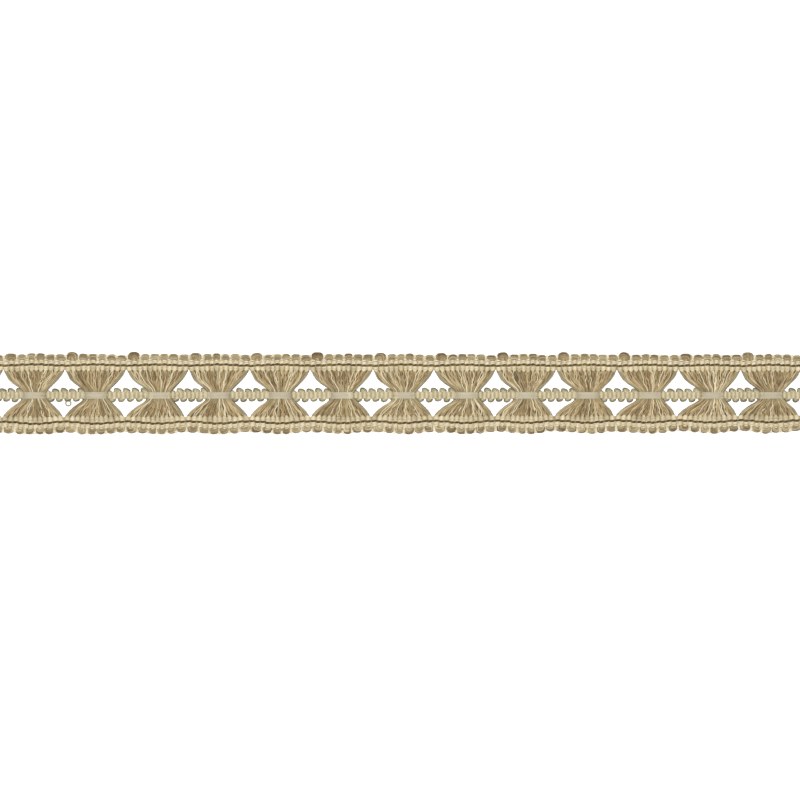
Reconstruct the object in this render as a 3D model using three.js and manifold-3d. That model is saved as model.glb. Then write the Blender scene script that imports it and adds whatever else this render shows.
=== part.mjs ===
// Flat cut length of open bow braid trim.
// Millimetres, +Z up. The braid lies flat on z = 0 and runs along X, with Y across it.
// The origin is at the bottom centre of the whole length.
import * as THREE from 'three';
import { mergeVertices } from 'three/addons/utils/BufferGeometryUtils.js';
import ManifoldModule from 'manifold-3d';

const wasm = await ManifoldModule();
wasm.setup();

// Lengthwise sizes
const REPEAT = 25;
const BOWS = 15;
const LENGTH = REPEAT * BOWS;
const LOOPS_PER_BOW = 6;
const STEPS_PER_BOW = 2;

// Clearance between neighbouring pieces, and the furthest that the loops reach from the middle line
const GAP = 0.3;
const HALF_WIDTH = 16.85;

// The two headings, measured outwards from the middle line: inner edge, brown thread, root and reach of the
// loops. wave is how far the band sways out over each bow, and drift how far it strays inwards over the whole
// length. The inner edge, which the skeins hold, has only a small share of the wave.
const HEADINGS = [
  { name: 'upper', side: 1, inner: 9.4, thread: 11.35, root: 13.1, reach: 15.95, wave: 0.25, drift: 0.1 },
  { name: 'lower', side: -1, inner: 9.65, thread: 11.8, root: 13.7, reach: 16.3, wave: 0.45, drift: 0.4 },
];
const [UPPER, LOWER] = HEADINGS;
const INNER_SHARE = 0.2;

// Warp-rib band: its height, and the groove that its brown thread lies in
const BAND = { top: 2.0, shoulder: 1.3, edge: 0.5, grooveHalf: 0.75, grooveFloor: 1.0 };
const THREAD = { half: 0.45, top: 2.1, side: 1.75 };

// Loops outside a heading: height of the notch between two of them above the root, half widths as shares of
// their pitch, and how each narrows to its crest. At each level a loop has that share of its own outline.
const LOOP = { notch: 0.55, half: 0.45, bigHalf: 0.49, corner: 0.65, crest: 0.6 };
const LOOP_SPREAD = { reach: 0.22, half: 0.02 };
const LOOP_LEVELS = [
  { z: 0, share: 0.92 },
  { z: 1.3, share: 1 },
  { z: 2.2, share: 0.66 },
];

// One skein from the upper heading to the lower one, row by row: place across the braid, reach to the left
// and right of its own centre line, underside, top, and how far that line has moved from the heading's to the
// waist's
const SKEIN_ROWS = [
  { y: 9.1, left: 11.9, right: 12.0, base: 0, top: 1.9, gather: 0 },
  { y: 8.2, left: 11.2, right: 11.2, base: 0, top: 2.1, gather: 0.1 },
  { y: 6.5, left: 10.3, right: 9.9, base: 0, top: 2.55, gather: 0.3 },
  { y: 4.7, left: 9.2, right: 8.1, base: 0, top: 2.95, gather: 0.5 },
  { y: 3.0, left: 7.3, right: 6.6, base: 0.1, top: 3.2, gather: 0.75 },
  { y: 1.4, left: 5.4, right: 5.2, base: 0.5, top: 3.05, gather: 0.95 },
  { y: 0.6, left: 4.7, right: 4.7, base: 0.75, top: 2.75, gather: 1 },
  { y: -2.4, left: 4.7, right: 4.7, base: 0.75, top: 2.75, gather: 1 },
  { y: -3.4, left: 6.0, right: 5.8, base: 0.4, top: 3.15, gather: 0.9 },
  { y: -5.4, left: 8.6, right: 8.3, base: 0, top: 3.0, gather: 0.6 },
  { y: -7.4, left: 10.5, right: 10.2, base: 0, top: 2.4, gather: 0.25 },
  { y: -9.35, left: 11.5, right: 11.8, base: 0, top: 1.9, gather: 0 },
];
const RIDGES = 5;
const RIDGE_DEPTH = 0.14;
const CROWN_FALL = 0.25;
const FLANK_HEIGHT = 0.45;

// How far each bow strays along X from an even repeat: its right-hand junction on the upper heading,
// its tied waist, and its right-hand junction on the lower heading
const STRAYS = [
  { upper: -0.4, waist: 0.3, lower: -0.9 },
  { upper: -0.2, waist: 0.2, lower: -0.6 },
  { upper: -0.3, waist: 0.2, lower: -0.7 },
  { upper: 0.2, waist: 1.05, lower: -1.1 },
  { upper: -0.1, waist: 0.25, lower: -0.1 },
  { upper: -0.4, waist: 0.25, lower: -0.2 },
  { upper: 0.2, waist: 0.55, lower: -0.4 },
  { upper: 0.0, waist: 0.7, lower: -0.25 },
  { upper: 0.2, waist: 1.3, lower: -0.2 },
  { upper: -0.1, waist: 0.55, lower: -0.9 },
  { upper: -0.4, waist: 0.55, lower: -1.1 },
  { upper: -0.3, waist: 0.75, lower: -1.0 },
  { upper: 0.0, waist: 1.1, lower: -1.1 },
  { upper: -0.4, waist: 0.1, lower: -0.9 },
  { upper: 0.0, waist: 0.6, lower: 0.0 },
];

// Centre gimp: its core strip in the gaps, and the floats that pass over and under each waist
const GIMP = { low: -2.25, high: 0.45, top: 1.6, edge: 0.35, start: 5.8 };
const TIE_OUTER = [
  { x: 7.0, z: 0 },
  { x: 6.5, z: 1.45 },
  { x: 5.6, z: 2.45 },
  { x: 4.3, z: 3.4 },
  { x: 2.1, z: 3.72 },
];
const TIE_TUNNEL = [
  { x: 5.0, z: 0.45 },
  { x: 5.0, z: 2.05 },
  { x: 3.9, z: 2.85 },
  { x: 1.9, z: 3.06 },
];

// Loops of the gimp in one gap: place from the gap's middle, side of the braid, reach from its middle line
// and half width
const GIMP_LOOPS = [
  { x: -4.05, side: 1, reach: 1.95, half: 1.4 },
  { x: -2.65, side: -1, reach: 3.75, half: 1.15 },
  { x: -0.75, side: 1, reach: 2.1, half: 1.4 },
  { x: 0.7, side: -1, reach: 3.85, half: 1.15 },
  { x: 2.8, side: 1, reach: 2.4, half: 1.4 },
  { x: 4.1, side: -1, reach: 3.75, half: 1.15 },
];
const PICOT = { crest: 0.5, lean: 0.35, corner: 0.7, top: 1.2, tuck: 0.2 };

// Yarn colours, as sRGB
const CREAM = 0xccbe9a;
const TAN = 0xae9c77;
const LOOP_TAN = 0xb0a07c;
const BROWN = 0x5c4a2c;
const PALE_CREAM = 0xcfc4a2;

const mix = THREE.MathUtils.lerp;

// A steady unevenness from -1 to 1 for piece number i
const uneven = (i, kind) => Math.sin(i * 2.399 + kind * 1.7) * Math.cos(i * 1.13 + kind);

// How far outwards a heading has swayed at x, where it follows that share of the wave
function sway(heading, x, share = 1) {
  return share * heading.wave * Math.cos((2 * Math.PI * x) / REPEAT) - (heading.drift * x) / (LENGTH / 2);
}

// The x of the junction on the right of bow number i, on the heading of that name; -1 is the braid's left end
function junctionX(name, i) {
  const even = -LENGTH / 2 + REPEAT * (i + 1);
  const stray = i < 0 || i === BOWS - 1 ? 0 : STRAYS[i][name];
  return even + stray;
}

// The x of the tied waist of bow number i
function waistX(i) {
  return -LENGTH / 2 + REPEAT * (i + 0.5) + STRAYS[i].waist;
}

// Extrudes an outline of [u, v] corners through a number of steps, with the hole cut if there is one,
// and puts every corner where place(u, v, step) says
function shapedBar(outline, steps, place, hole) {
  const shape = new THREE.Shape(outline.map(([u, v]) => new THREE.Vector2(u, v)));
  if (hole) {
    shape.holes.push(new THREE.Path(hole.map(([u, v]) => new THREE.Vector2(u, v))));
  }
  const geometry = new THREE.ExtrudeGeometry(shape, { depth: steps, steps, bevelEnabled: false });
  const corners = geometry.attributes.position;
  for (let i = 0; i < corners.count; i += 1) {
    const step = Math.round(corners.getZ(i));
    corners.setXYZ(i, ...place(corners.getX(i), corners.getY(i), step));
  }
  geometry.deleteAttribute('normal');
  geometry.deleteAttribute('uv');
  return mergeVertices(geometry);
}

// A closed geometry as a solid that can be joined
function solid(geometry) {
  return new wasm.Manifold(
    new wasm.Mesh({
      numProp: 3,
      vertProperties: new Float32Array(geometry.attributes.position.array),
      triVerts: new Uint32Array(geometry.index.array),
    }),
  );
}

// Several closed geometries joined into one
function joined(geometries) {
  const mesh = wasm.Manifold.union(geometries.map(solid)).getMesh();
  const geometry = new THREE.BufferGeometry();
  geometry.setAttribute('position', new THREE.BufferAttribute(mesh.vertProperties, mesh.numProp));
  geometry.setIndex(new THREE.BufferAttribute(mesh.triVerts, 1));
  return geometry;
}

// A named piece of the braid
function piece(name, geometry, color, roughness) {
  geometry.computeVertexNormals();
  const material = new THREE.MeshStandardMaterial({ color, roughness, metalness: 0, flatShading: true });
  const mesh = new THREE.Mesh(geometry, material);
  mesh.name = name;
  return mesh;
}

// A strip that runs the whole length beside a heading, from its outline of [distance out, height] corners
function lengthwise(heading, outline) {
  const steps = BOWS * STEPS_PER_BOW;
  return shapedBar(outline, steps, (out, z, step) => {
    const x = heading.side * mix(-LENGTH / 2, LENGTH / 2, step / steps);
    const share = out <= heading.inner + BAND.edge ? INNER_SHARE : 1;
    return [x, heading.side * (out + sway(heading, x, share)), z];
  });
}

// The cream warp-rib band, with the groove for its brown thread
function headingBand(heading) {
  const { inner, thread, root } = heading;
  return lengthwise(heading, [
    [inner, 0],
    [root, 0],
    [root, BAND.shoulder],
    [root - BAND.edge / 2, BAND.top],
    [thread + BAND.grooveHalf, BAND.grooveFloor],
    [thread - BAND.grooveHalf, BAND.grooveFloor],
    [thread - BAND.grooveHalf - BAND.edge / 2, BAND.top],
    [inner + BAND.edge, BAND.top],
    [inner, BAND.shoulder],
  ]);
}

// The dark brown thread in the groove
function lineThread(heading) {
  const floor = BAND.grooveFloor + GAP;
  return lengthwise(heading, [
    [heading.thread - THREAD.half, floor],
    [heading.thread + THREAD.half, floor],
    [heading.thread + THREAD.half, THREAD.side],
    [heading.thread, THREAD.top],
    [heading.thread - THREAD.half, THREAD.side],
  ]);
}

// Size and place of loop number i of the weft's turns; the first after each junction is bigger
function weftLoop(heading, i) {
  const bow = Math.floor(i / LOOPS_PER_BOW);
  const place = i % LOOPS_PER_BOW;
  const left = junctionX(heading.name, bow - 1);
  const right = junctionX(heading.name, bow);
  const pitch = (right - left) / LOOPS_PER_BOW;
  const start = left + pitch * place;
  const x = start + pitch / 2;
  const root = heading.root + GAP + sway(heading, x);
  const even = heading.reach + sway(heading, x) + LOOP_SPREAD.reach * uneven(i, heading.side);
  const reach = place === 0 ? HALF_WIDTH : Math.min(even, HALF_WIDTH);
  const half = pitch * (place === 0 ? LOOP.bigHalf : LOOP.half + LOOP_SPREAD.half * uneven(i, 2));
  return { start, x, half, root, reach };
}

// The row of loops as one comb: a straight root beside the heading, and a bead-like tooth for each loop
function loopEdge(heading) {
  const { side } = heading;
  const loops = Array.from({ length: BOWS * LOOPS_PER_BOW }, (_, i) => weftLoop(heading, i));
  const root = Array.from({ length: BOWS * STEPS_PER_BOW + 1 }, (_, i) => {
    const x = mix(-LENGTH / 2, LENGTH / 2, i / (BOWS * STEPS_PER_BOW));
    return [x, heading.root + GAP + sway(heading, x)];
  });
  const teeth = loops.flatMap((loop) => [
    [loop.start, loop.root + LOOP.notch],
    [loop.x - loop.half, loop.reach - LOOP.corner],
    [loop.x - loop.half * LOOP.crest, loop.reach],
    [loop.x + loop.half * LOOP.crest, loop.reach],
    [loop.x + loop.half, loop.reach - LOOP.corner],
  ]);
  const end = [LENGTH / 2, loops.at(-1).root + LOOP.notch];
  const outline = [...root, end, ...teeth.reverse()].map(([x, out]) => [x, side * out]);
  return shapedBar(outline, LOOP_LEVELS.length - 1, (x, y, step) => {
    const { z, share } = LOOP_LEVELS[step];
    const loop = loops.findLast(({ start }) => start <= x);
    if (side * y <= loop.root + LOOP.notch) {
      return [x, y, z];
    }
    const middle = (side * (loop.root + loop.reach)) / 2;
    return [mix(loop.x, x, share), mix(middle, y, share), z];
  });
}

// Section of a skein: flat below, with ridges of yarn over a crowned top, u from -1 to 1 and v from 0 to 1
function skeinSection() {
  const top = [];
  for (let j = 0; j < 2 * RIDGES - 1; j += 1) {
    const u = 1 - (j + 1) / RIDGES;
    const crown = 1 - CROWN_FALL * u * u;
    top.push([u, j % 2 === 0 ? crown : crown - RIDGE_DEPTH]);
  }
  return [[-1, 0], [1, 0], [1, FLANK_HEIGHT], ...top, [-1, FLANK_HEIGHT]];
}

// One skein of tan weft, fanned out at both headings and gathered at its waist
function skein(i) {
  return shapedBar(skeinSection(), SKEIN_ROWS.length - 1, (u, v, step) => {
    const row = SKEIN_ROWS[step];
    const heading = row.y > 0 ? UPPER : LOWER;
    const left = junctionX(heading.name, i - 1);
    const right = junctionX(heading.name, i);
    const centre = mix((left + right) / 2, waistX(i), row.gather);
    const stretch = mix((right - left) / REPEAT, 1, row.gather);
    const x = centre + u * (u < 0 ? row.left : row.right) * stretch;
    const y = row.y + (1 - row.gather) * heading.side * sway(heading, x, INNER_SHARE);
    return [x, y, mix(row.base, row.top, v)];
  });
}

// Corners on the right of a tie, then the same ones mirrored to its left
function mirrored(corners) {
  const right = corners.map(({ x, z }) => [x, z]);
  const left = corners.map(({ x, z }) => [-x, z]).reverse();
  return [...right, ...left];
}

// The gimp's floats around the waist of bow number i: over it, under it, with the tunnel between
function tie(i) {
  const across = [GIMP.high, GIMP.low];
  const place = (u, v, step) => [waistX(i) + u, across[step], v];
  return shapedBar(mirrored(TIE_OUTER), 1, place, mirrored(TIE_TUNNEL));
}

// A length of the gimp's core strip from one x to another
function gimpCore(from, to) {
  const { low, high, top, edge } = GIMP;
  const outline = [
    [low, 0],
    [high, 0],
    [high, top - edge],
    [high - edge, top],
    [low + edge, top],
    [low, top - edge],
  ];
  return shapedBar(outline, 1, (y, z, step) => [step === 0 ? from : to, y, z]);
}

// One small loop at the edge of the gimp's core, steeper on its left
function gimpLoop(x, side, reach, half) {
  const edge = side > 0 ? GIMP.high : -GIMP.low;
  const crest = -PICOT.lean * side;
  const outline = [
    [-half, edge - PICOT.tuck],
    [half, edge - PICOT.tuck],
    [half, reach - PICOT.corner],
    [crest + PICOT.crest, reach],
    [crest - PICOT.crest, reach],
    [-half, reach - PICOT.corner],
  ];
  return shapedBar(outline, 1, (along, out, step) => [x + side * along, side * out, step * PICOT.top]);
}

// The whole centre gimp: ties around the waists, core strips between them, and the loops at their edges
function centreGimp() {
  const parts = [];
  for (let i = 0; i < BOWS; i += 1) {
    parts.push(tie(i));
  }
  for (let i = 0; i <= BOWS; i += 1) {
    const from = i === 0 ? -LENGTH / 2 : waistX(i - 1) + GIMP.start;
    const to = i === BOWS ? LENGTH / 2 : waistX(i) - GIMP.start;
    parts.push(gimpCore(from, to));
  }
  for (let i = 1; i < BOWS; i += 1) {
    const middle = (waistX(i - 1) + waistX(i)) / 2;
    const stretch = (waistX(i) - waistX(i - 1)) / REPEAT;
    for (const loop of GIMP_LOOPS) {
      parts.push(gimpLoop(middle + loop.x * stretch, loop.side, loop.reach, loop.half));
    }
  }
  return joined(parts);
}

const group = new THREE.Group();
for (const heading of HEADINGS) {
  group.add(piece(`heading_${heading.name}`, headingBand(heading), CREAM, 0.85));
  group.add(piece(`line_thread_${heading.name}`, lineThread(heading), BROWN, 0.7));
  group.add(piece(`loop_edge_${heading.name}`, loopEdge(heading), LOOP_TAN, 0.85));
}
for (let i = 0; i < BOWS; i += 1) {
  const number = String(i + 1).padStart(2, '0');
  group.add(piece(`skein_${number}`, skein(i), TAN, 0.8));
}
group.add(piece('centre_gimp', centreGimp(), PALE_CREAM, 0.75));

export default group;
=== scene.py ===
import math

import bmesh
import bpy
import numpy as np
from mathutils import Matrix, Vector


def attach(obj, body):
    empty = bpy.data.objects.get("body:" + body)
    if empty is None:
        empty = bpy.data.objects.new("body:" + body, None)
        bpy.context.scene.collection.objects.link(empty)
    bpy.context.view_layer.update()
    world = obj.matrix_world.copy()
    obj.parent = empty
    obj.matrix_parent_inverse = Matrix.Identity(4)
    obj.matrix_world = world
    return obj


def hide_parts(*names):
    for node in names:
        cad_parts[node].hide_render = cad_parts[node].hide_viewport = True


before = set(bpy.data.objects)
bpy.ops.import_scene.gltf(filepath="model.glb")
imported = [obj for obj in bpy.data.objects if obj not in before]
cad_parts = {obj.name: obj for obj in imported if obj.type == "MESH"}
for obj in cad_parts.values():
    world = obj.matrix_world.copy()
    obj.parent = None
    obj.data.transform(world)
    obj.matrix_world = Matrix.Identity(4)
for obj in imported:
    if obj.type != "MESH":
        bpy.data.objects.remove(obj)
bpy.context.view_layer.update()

# Open bow braid trim, yarn by yarn. X runs along the braid, Y across it and Z up from the table. Lengths
# are in millimetres until a mesh is made. A tone runs from 0, the darkest of its material, to 1, the
# brightest.
MM = 0.001

# Lengthwise sizes, as in the part's source
REPEAT = 25.0
BOWS = 15
LENGTH = REPEAT * BOWS
PICKS_PER_BOW = 12
PICKS = PICKS_PER_BOW * BOWS

# The share by which the picks lie further apart at a junction, and closer together in the middle of a bow
PICK_SPREAD = 0.09

# The two headings, outwards from the middle line: inner edge, brown thread, root and reach of the loops,
# how the band sways and drifts, its warp ends on both sides of the thread, the pick at which each loop of a
# bow begins, how much the loops lean, the brightest tone in the bigger first one, and the heading's own
# seed
HEADINGS = {
    "upper": dict(
        side=1, inner=9.4, thread=11.35, root=13.3, reach=15.8, wave=0.22, drift=0.1,
        inner_ends=10, outer_ends=5, loops=(0.15, 2.6, 4.55, 6.5, 8.4, 10.3),
        lean=0.15, big_tone=0.55, seed=1,
    ),
    "lower": dict(
        side=-1, inner=9.65, thread=11.8, root=13.7, reach=16.35, wave=0.42, drift=0.4,
        inner_ends=10, outer_ends=6, loops=(0.2, 2.35, 4.4, 6.4, 8.4, 10.3),
        lean=0.35, big_tone=0.75, seed=2,
    ),
}

# Share of the sway that a heading's inner edge follows, how far its warp begins from that edge, and half
# the braid's width over the loops
INNER_SHARE = 0.2
INNER_SET_BACK = 0.2
HALF_WIDTH = 16.85

# Seeds of the random draws. A heading adds its own, and a skein its number.
SEEDS = dict(inner_band=10, outer_band=60, thread=20, loops=30, skein=100, gimp_warp=41, gimp_loops=42)

# How far each bow strays along X from the even repeat: its right-hand junction on the upper heading, its
# waist, and its right-hand junction on the lower heading
STRAYS = [
    dict(upper=-0.4, waist=0.3, lower=-0.9),
    dict(upper=-0.2, waist=0.2, lower=-0.6),
    dict(upper=-0.3, waist=0.2, lower=-0.7),
    dict(upper=0.2, waist=1.05, lower=-1.1),
    dict(upper=-0.1, waist=0.25, lower=-0.1),
    dict(upper=-0.4, waist=0.25, lower=-0.2),
    dict(upper=0.2, waist=0.55, lower=-0.4),
    dict(upper=0.0, waist=0.7, lower=-0.25),
    dict(upper=0.2, waist=1.3, lower=-0.2),
    dict(upper=-0.1, waist=0.55, lower=-0.9),
    dict(upper=-0.4, waist=0.55, lower=-1.1),
    dict(upper=-0.3, waist=0.75, lower=-1.0),
    dict(upper=0.0, waist=1.1, lower=-1.1),
    dict(upper=-0.4, waist=0.1, lower=-0.9),
    dict(upper=0.0, waist=0.6, lower=0.0),
]

# A skein from the lower heading to the upper one: place across the braid, reach to the left and right of
# its own centre line, underside and top of the yarn, how far it has gathered, and how freely the yarns
# wander there
SKEIN_ROWS = [
    dict(y=-10.9, left=12.0, right=12.0, low=0.55, top=1.45, gather=0.0, free=0.0),
    dict(y=-9.6, left=11.95, right=11.75, low=0.45, top=1.6, gather=0.0, free=0.1),
    dict(y=-7.4, left=10.5, right=10.2, low=0.2, top=2.3, gather=0.25, free=0.9),
    dict(y=-5.4, left=8.3, right=7.85, low=0.2, top=2.8, gather=0.6, free=0.9),
    dict(y=-3.4, left=5.4, right=5.5, low=0.4, top=3.05, gather=0.9, free=0.3),
    dict(y=-2.2, left=4.6, right=4.3, low=0.7, top=2.95, gather=1.0, free=0.0),
    dict(y=-0.9, left=4.3, right=3.8, low=0.75, top=2.9, gather=1.0, free=0.0),
    dict(y=0.4, left=4.5, right=4.2, low=0.7, top=2.95, gather=1.0, free=0.0),
    dict(y=1.4, left=4.85, right=5.0, low=0.5, top=3.1, gather=0.95, free=0.25),
    dict(y=3.0, left=7.05, right=6.65, low=0.25, top=3.1, gather=0.75, free=0.7),
    dict(y=5.2, left=9.97, right=9.1, low=0.15, top=2.7, gather=0.45, free=1.0),
    dict(y=7.2, left=11.1, right=10.85, low=0.2, top=2.2, gather=0.2, free=0.9),
    dict(y=9.3, left=12.0, right=12.1, low=0.45, top=1.6, gather=0.0, free=0.1),
    dict(y=10.7, left=12.1, right=12.2, low=0.55, top=1.45, gather=0.0, free=0.0),
]
WAIST_Y = -0.9

# Half the width of a skein in a heading, which the places of its yarns are shares of, and where its yarns
# bend: in the lower heading, in the fan below, at the waist, in the fan above and in the upper heading
HALF_SKEIN = 12.3
BENDS = dict(
    lower=(-10.9, -9.8), below=(-9.1, -2.6), waist=(-1.7, WAIST_Y, 0.1), above=(0.9, 9.0), upper=(9.8, 10.7),
)

# The two layers of a skein. Yarns of the top layer leave the heading in one bunch to each pick and fan out.
# The fatter ones under them lie evenly and close the skein. Given are the yarns to a pick, their half
# width, how far those of one pick spread in the heading and in the fans, how much they wander, between
# which shares of the skein's thickness they lie, and how many bends they have in the fans below and above
# the waist.
TOP_LAYER = dict(per_pick=4, half=0.25, bunch=0.5, fanned=0.95, wander=1.0, low=0.6, high=1.0, bends=(13, 15))
UNDER_LAYER = dict(
    per_pick=3, half=0.43, bunch=0.66, fanned=0.66, wander=0.35, low=0.0, high=0.4, bends=(5, 6),
)
YARN_HIGH = 0.25

# Where the bunches have come apart, and how near the tie it begins to draw the yarns in: a distance along
# Y, and over how much of it they change
LOOSE = dict(from_y=9.4, over=2.2)
BY_TIE = dict(within=3.4, over=2.4)

# How far the yarns lie off their even places in a bunch and at the waist, how much wider than the outermost
# yarn the waist is, and the smallest share of its thickness that a skein keeps at its sides
UNEVEN_SKEIN = dict(bunch=0.08, waist=0.05, margin=1.02, thinnest=0.05)

# How the yarns of a skein wander sideways, in a slow and a quick wave and in clumps, and how they rise and
# fall: the size of each wave and its pace along the yarn, and for the clumps the pace across the skein
# before that. sizes is the least and the most of a wave that a yarn has, and at_edge how much steadier the
# outermost yarns are.
WANDER = dict(
    slow=(0.4, 0.85), quick=(0.2, 2.1), clumps=(0.22, 3.1, 0.06), lift=(0.14, 1.6),
    sizes=(0.3, 1.0), at_edge=0.8,
)

# How much lower a gathered skein is at its sides than in the middle, and how soon in the gathering
CROWN = dict(drop=0.8, soon=1.4)

# Tones of a skein's two layers: mean and spread from yarn to yarn, the size and pace of two waves along a
# yarn, how much darker and greyer it is by the tie, and the most that a yarn is grey elsewhere. The under
# layer's low mean is painted shade, and so is the darkening by the tie.
TOP_TONE = dict(
    mean=0.54, spread=0.22, slow=(0.12, 0.6), quick=(0.08, 2.0), by_tie=0.26, grey_by_tie=0.5, grey=0.35,
)
UNDER_TONE = dict(mean=0.18, spread=0.15, grey_by_tie=0.5)

# The outermost yarns of a skein: the share of its half width at which they begin and over which they
# change, and what they add to the tone and the grey, on the left above and below the waist
EDGE = dict(start=0.86, over=0.06)
LEFT_EDGE = dict(tone=(-0.15, 0.12), grey=(0.6, 0.3))
RIGHT_EDGE = dict(tone=-0.2, grey=0.6)

# A bright strip like straw just inside the left edge above the waist: where it begins across and along, and
# tone
STRAW = dict(start=0.72, over=0.04, from_y=2.0, over_y=3, tone=0.45)

# A browner patch in each fan: how far from the middle it may lie and its half width, as shares of the half
# skein, how much darker it is, and how much brighter the whole skein is for it
BROWN = dict(within=0.6, half=0.3, darker=0.17, rest=0.03)

# Pale yarns among the tan ones: the least number to a bow and one past the most, the share of the width
# they keep within, half thickness, tone, and how much of a tan yarn's tone they add. They rise above the
# others inside a place across the braid, over a distance from it, by an even amount and a wave with its
# pace.
PALE = dict(
    per_bow=(2, 9), within=0.8, half=0.21, tone=0.4, share=0.4,
    from_y=8.2, over=2, rise=0.1, wave=0.16, pace=0.5,
)

# Bands of warp ends: half width and half height of an end, its height under a pick, between two picks and
# over one, how square its turns are, its width between two picks and how much narrower it is under one, its
# tone, how much darker it is between two, as painted shade in the hollow, how it tilts, and the sides of its
# section. The thread's negative one makes it paler between two instead, where its line is thinner.
CREAM_BAND = dict(
    half=0.22, plump=0.15, levels=(0.16, 0.9, 1.85), crest=0.75, between=0.6, slim=0.0,
    tone=0.56, shade=0.5, tilt=0.0, sides=4,
)
THREAD_BAND = dict(
    half=0.5, plump=0.28, levels=(0.6, 1.4, 1.9), crest=0.8, between=0.45, slim=0.5,
    tone=0.28, shade=-0.6, tilt=0.11, sides=6,
)
STEPS_PER_PICK = 4

# How the ends at a band's edge bow over a pick, as lumps: to which side, how far out and along, how much
# fatter and darker they are there, how much brighter the whole band is, and the share of the painted shade
# between two picks it has. The darkening of the inner lumps is painted shade at the band's inner edge. The
# shape says how sharply a lump rises across the band and along it.
INNER_LUMP = dict(side=-1, reach=1.1, lean=0.6, fatter=0.3, dim=0.25, pale=-0.08, groove=0.7)
OUTER_LUMP = dict(side=1, reach=0.5, lean=0.0, fatter=0.3, dim=-0.05, pale=0.1, groove=0.4)
NO_LUMP = dict(side=1, reach=0.0, lean=0.0, fatter=0.0, dim=0.0, pale=0.0, groove=1.0)
LUMP_SHAPE = dict(across=1.3, along=1.4)

# How uneven the bands are: how much a pick swells, the least and the most of its lump, how far an end wanders
# and at what pace, how far it jitters, and how the tone varies from end to end, with the swell and on top of
# a turn, where the brighter tone is a painted highlight
UNEVEN_BAND = dict(
    swell=0.1, lump=(0.45, 1.15), wander=0.02, pace=0.7, jitter=0.015, tone=0.1, swell_tone=1.5, top_tone=0.1,
)

# A pick of weft where it crosses under the brown thread: how far it shows to each side, half sizes, level
# and tone
PICK = dict(reach=(-1.2, 0.0, 1.6), half=1.02, high=0.5, level=1.05, tone=0.5)

# Room for the brown thread between the cream ends, and how far its two ends lie to each side of its middle
THREAD_ROOM = 0.45
THREAD_SPREAD = 0.22

# Bundles of strands that turn in loops: strands round the outside and their half thickness, half depth of
# the bundle and the share of it that its legs take up sideways, its underside and top, how far it twists
# each way in radians and how round the arch is, from 0 for square to 1, both as the least and the most, and
# the points along a strand
BUNDLES = {
    "upper": dict(
        strands=9, yarn=0.25, deep=1.15, legs=0.2, low=0.05, high=2.15,
        twist=(0.2, 0.9), roundness=(0.4, 0.8), points=14,
    ),
    "lower": dict(
        strands=8, yarn=0.26, deep=1.0, legs=0.6, low=0.05, high=2.15,
        twist=(0.7, 1.2), roundness=(0.6, 0.9), points=14,
    ),
    "big": dict(
        strands=9, yarn=0.27, deep=1.15, legs=0.7, low=0.05, high=2.25,
        twist=(1.0, 1.5), roundness=(0.6, 0.85), points=14,
    ),
    "gimp": dict(
        strands=5, yarn=0.24, deep=0.52, legs=1.0, low=0.2, high=1.45,
        twist=(0.4, 0.6), roundness=(0.8, 0.95), points=13,
    ),
}

# The arch of a loop: how far its strands lie from even steps round it, the least half width and height of
# one, the share of its height at which it begins, how far back a leaning crest lies, and how far any point
# strays
ARCH = dict(uneven=(0.1, 0.4), narrowest=0.12, lowest=0.3, foot=0.3, back=0.45, stray=0.035)

# The two ends of each strand in the heading: level, how far inside the root the far and the near point lie,
# and how much of the bundle's width and depth is left there
LEG = dict(level=0.4, far=1.3, near=0.25, width=0.3, depth=0.15)

# The broad strand that fills a loop: what it adds to half the room between the legs and the least of that
# room, half height and level, how far it stops short of the crest, its slant and set-back in a leaning
# loop, its width at the base as a share of the widest, where along it that is, and its width at the tip
FILLER = dict(
    beside=0.4, least=0.1, high=0.3, level=0.75, short=0.45, slant=0.45, back=0.1,
    base=0.7, widest_at=0.75, tip=0.6,
)

# Loops of an edging: half width of a bigger first one and, as the least and the most, of the others, as a
# share of the distance between their picks, the most that one leans, and how far one lies off its place and
# off its reach
LOOP = dict(big=0.46, half=(0.46, 0.5), most_lean=0.4, off_place=0.15, off_reach=(-0.2, 0.25))

# Tones of a loop: least and most of its strands, the filling strand, how loops differ, how much darker the
# outside of the crest is, as painted shade where the arch turns away from the lamp, the most that a strand is
# grey, and how much less in a bigger loop
LOOP_TONE = dict(least=0.15, most=0.8, filler=0.42, differ=0.06, crest=0.35, grey=0.7, less_grey=0.5)

# The cream stitch between two loops: half width and half thickness, level of its ends and its top, how far
# it stops short of the loops and strays from that, how far inside the root it begins, how deep its arch is,
# the points of the arch, and its least and most tone
STITCH = dict(
    half_width=0.25, yarn=0.25, low=0.7, high=1.6, short=0.4, stray=(-0.3, 0.2), inside=1, arch=0.3,
    points=5, tone=(0.6, 1.0),
)

# Centre gimp: its two edges across the braid, its ends and how far inside the edges they lie, the ribs
# between two waists, levels under a rib, between two and over one, how square a rib is, half the distance
# between a loop's legs, half width and half height of an end, its width between two ribs, tone, how much ends
# differ, how much darker they are between two ribs, as painted shade in the hollow, and how far any point
# strays
GIMP = dict(
    low=-2.3, high=0.55, ends=14, inside=0.12, ribs=9, under=0.17, mid=0.65, top=1.5, crest=0.6, leg=0.75,
    half=0.21, plump=0.15, between=0.6, tone=0.55, differ=0.12, shade=0.3, stray=0.015,
)

# Ties, which reach unevenly to the left and right of each waist: top and underside, level at both ends, how
# square they are, how soon the back drops, and how much narrower they are in the middle. The floats over a
# waist are smooth satin between two shares of a tie's length, each given as the least and the most.
TIE = dict(
    left=5.05, right=4.45, top=3.35, under=0.18, cross=1.15, round=2.3, soon=1.3, pinch=0.07,
    satin_from=(0.04, 0.2), satin_to=(0.82, 0.95),
)

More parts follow.
